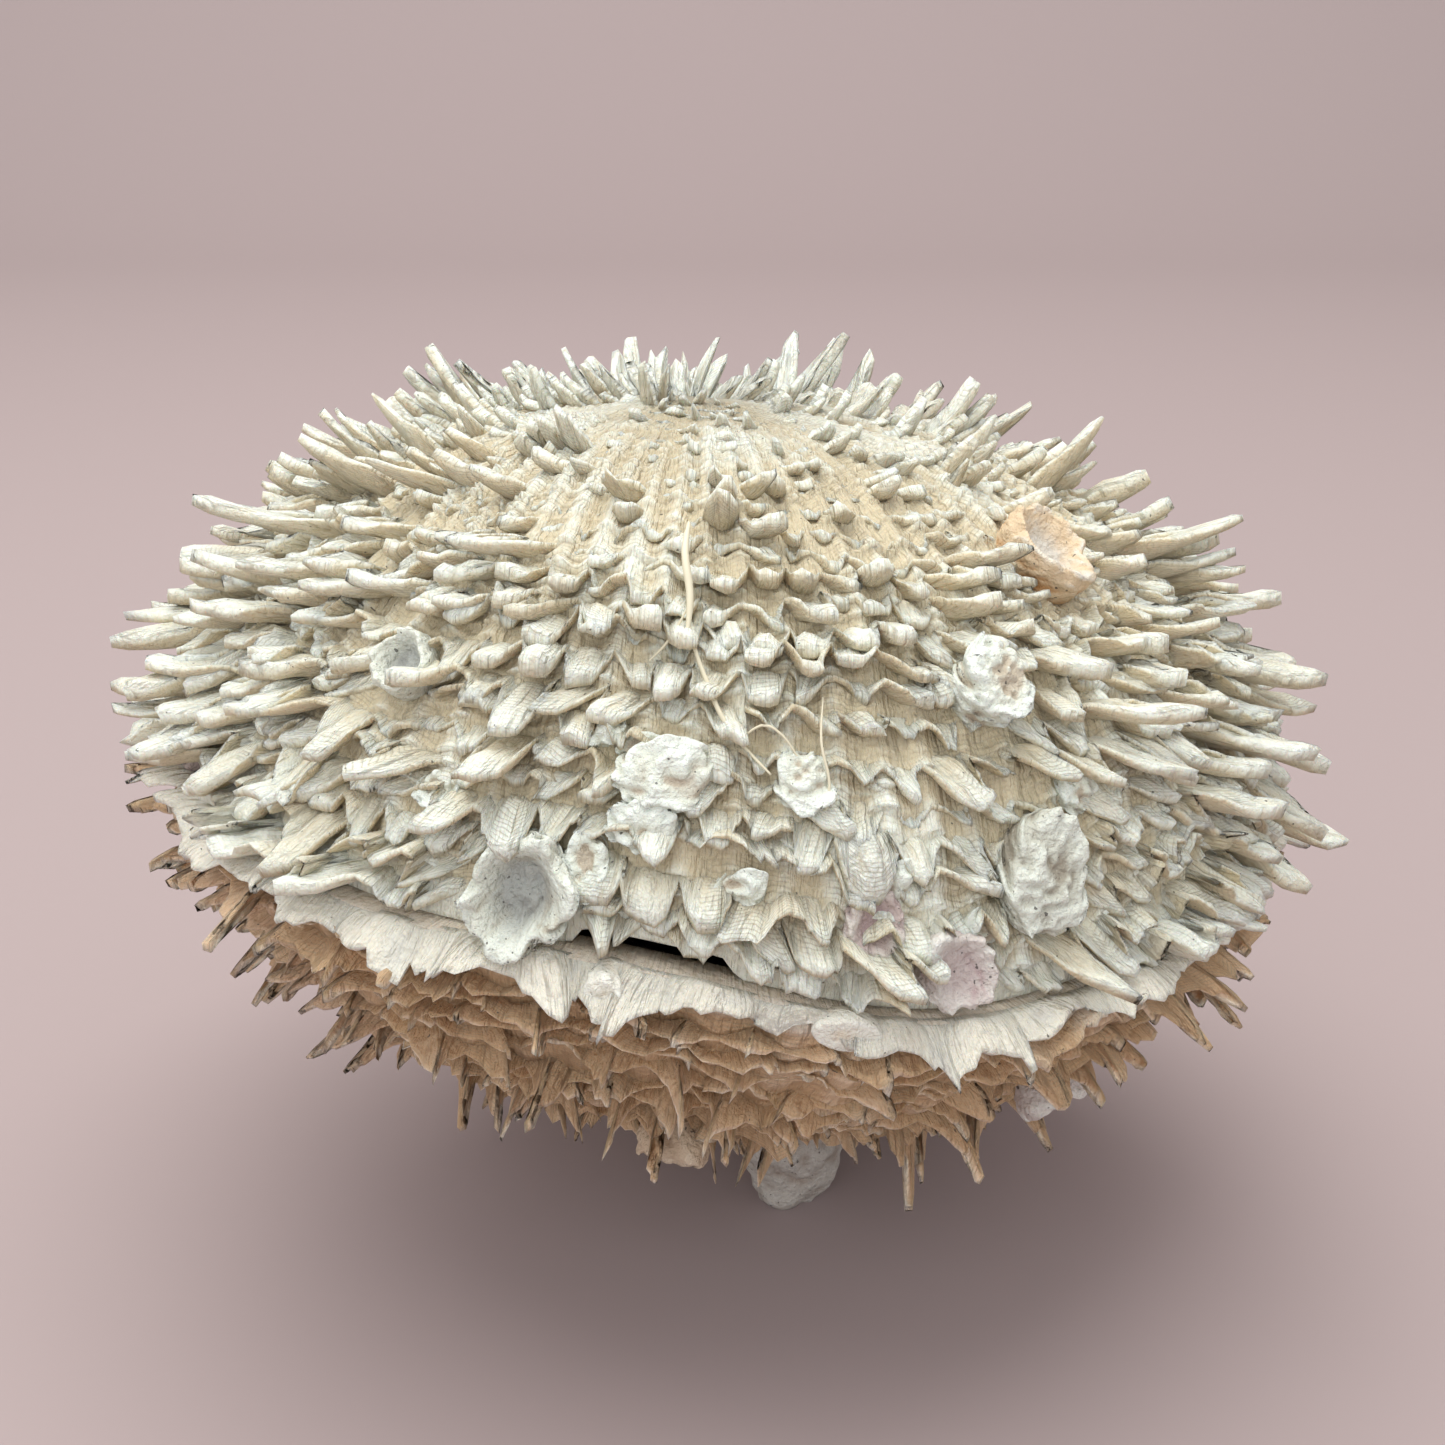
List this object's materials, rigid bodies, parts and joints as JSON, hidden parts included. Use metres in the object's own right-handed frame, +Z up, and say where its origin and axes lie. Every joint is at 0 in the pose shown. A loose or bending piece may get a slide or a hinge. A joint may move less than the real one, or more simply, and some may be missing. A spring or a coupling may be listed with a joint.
{
  "type": "closed thorny oyster shell",
  "caption": "Closed thorny oyster shell, both valves together and covered in spines, with small shells and crusts grown on it.",
  "frame": {"origin": "middle of the flat attachment scar under the lower valve, on the surface that the shell rests on", "axes": "+Z up; +X to the right along the longest side, the seam's right end a little lower; -Y towards the free margin, which faces the viewer"},
  "size_m": [0.1511, 0.1286, 0.1113],
  "materials": {
    "upper_shell": "matte",
    "lower_shell": "matte",
    "oyster_spat": "matte",
    "chalk_crust": "matte",
    "pink_crust": "matte",
    "orange_flake": "matte"
  },
  "bodies": {
    "root": {"upper_valve": "upper_shell", "lower_valve": "lower_shell", "cup_oyster_spat": "oyster_spat", "small_cup_spat": "oyster_spat", "coral_knob": "chalk_crust", "chalky_crust": "chalk_crust", "grey_crust": "chalk_crust", "pink_shell_scrap": "pink_crust", "orange_cup_flake": "orange_flake", "reddish_crust": "pink_crust"}
  },
  "joints": []
}
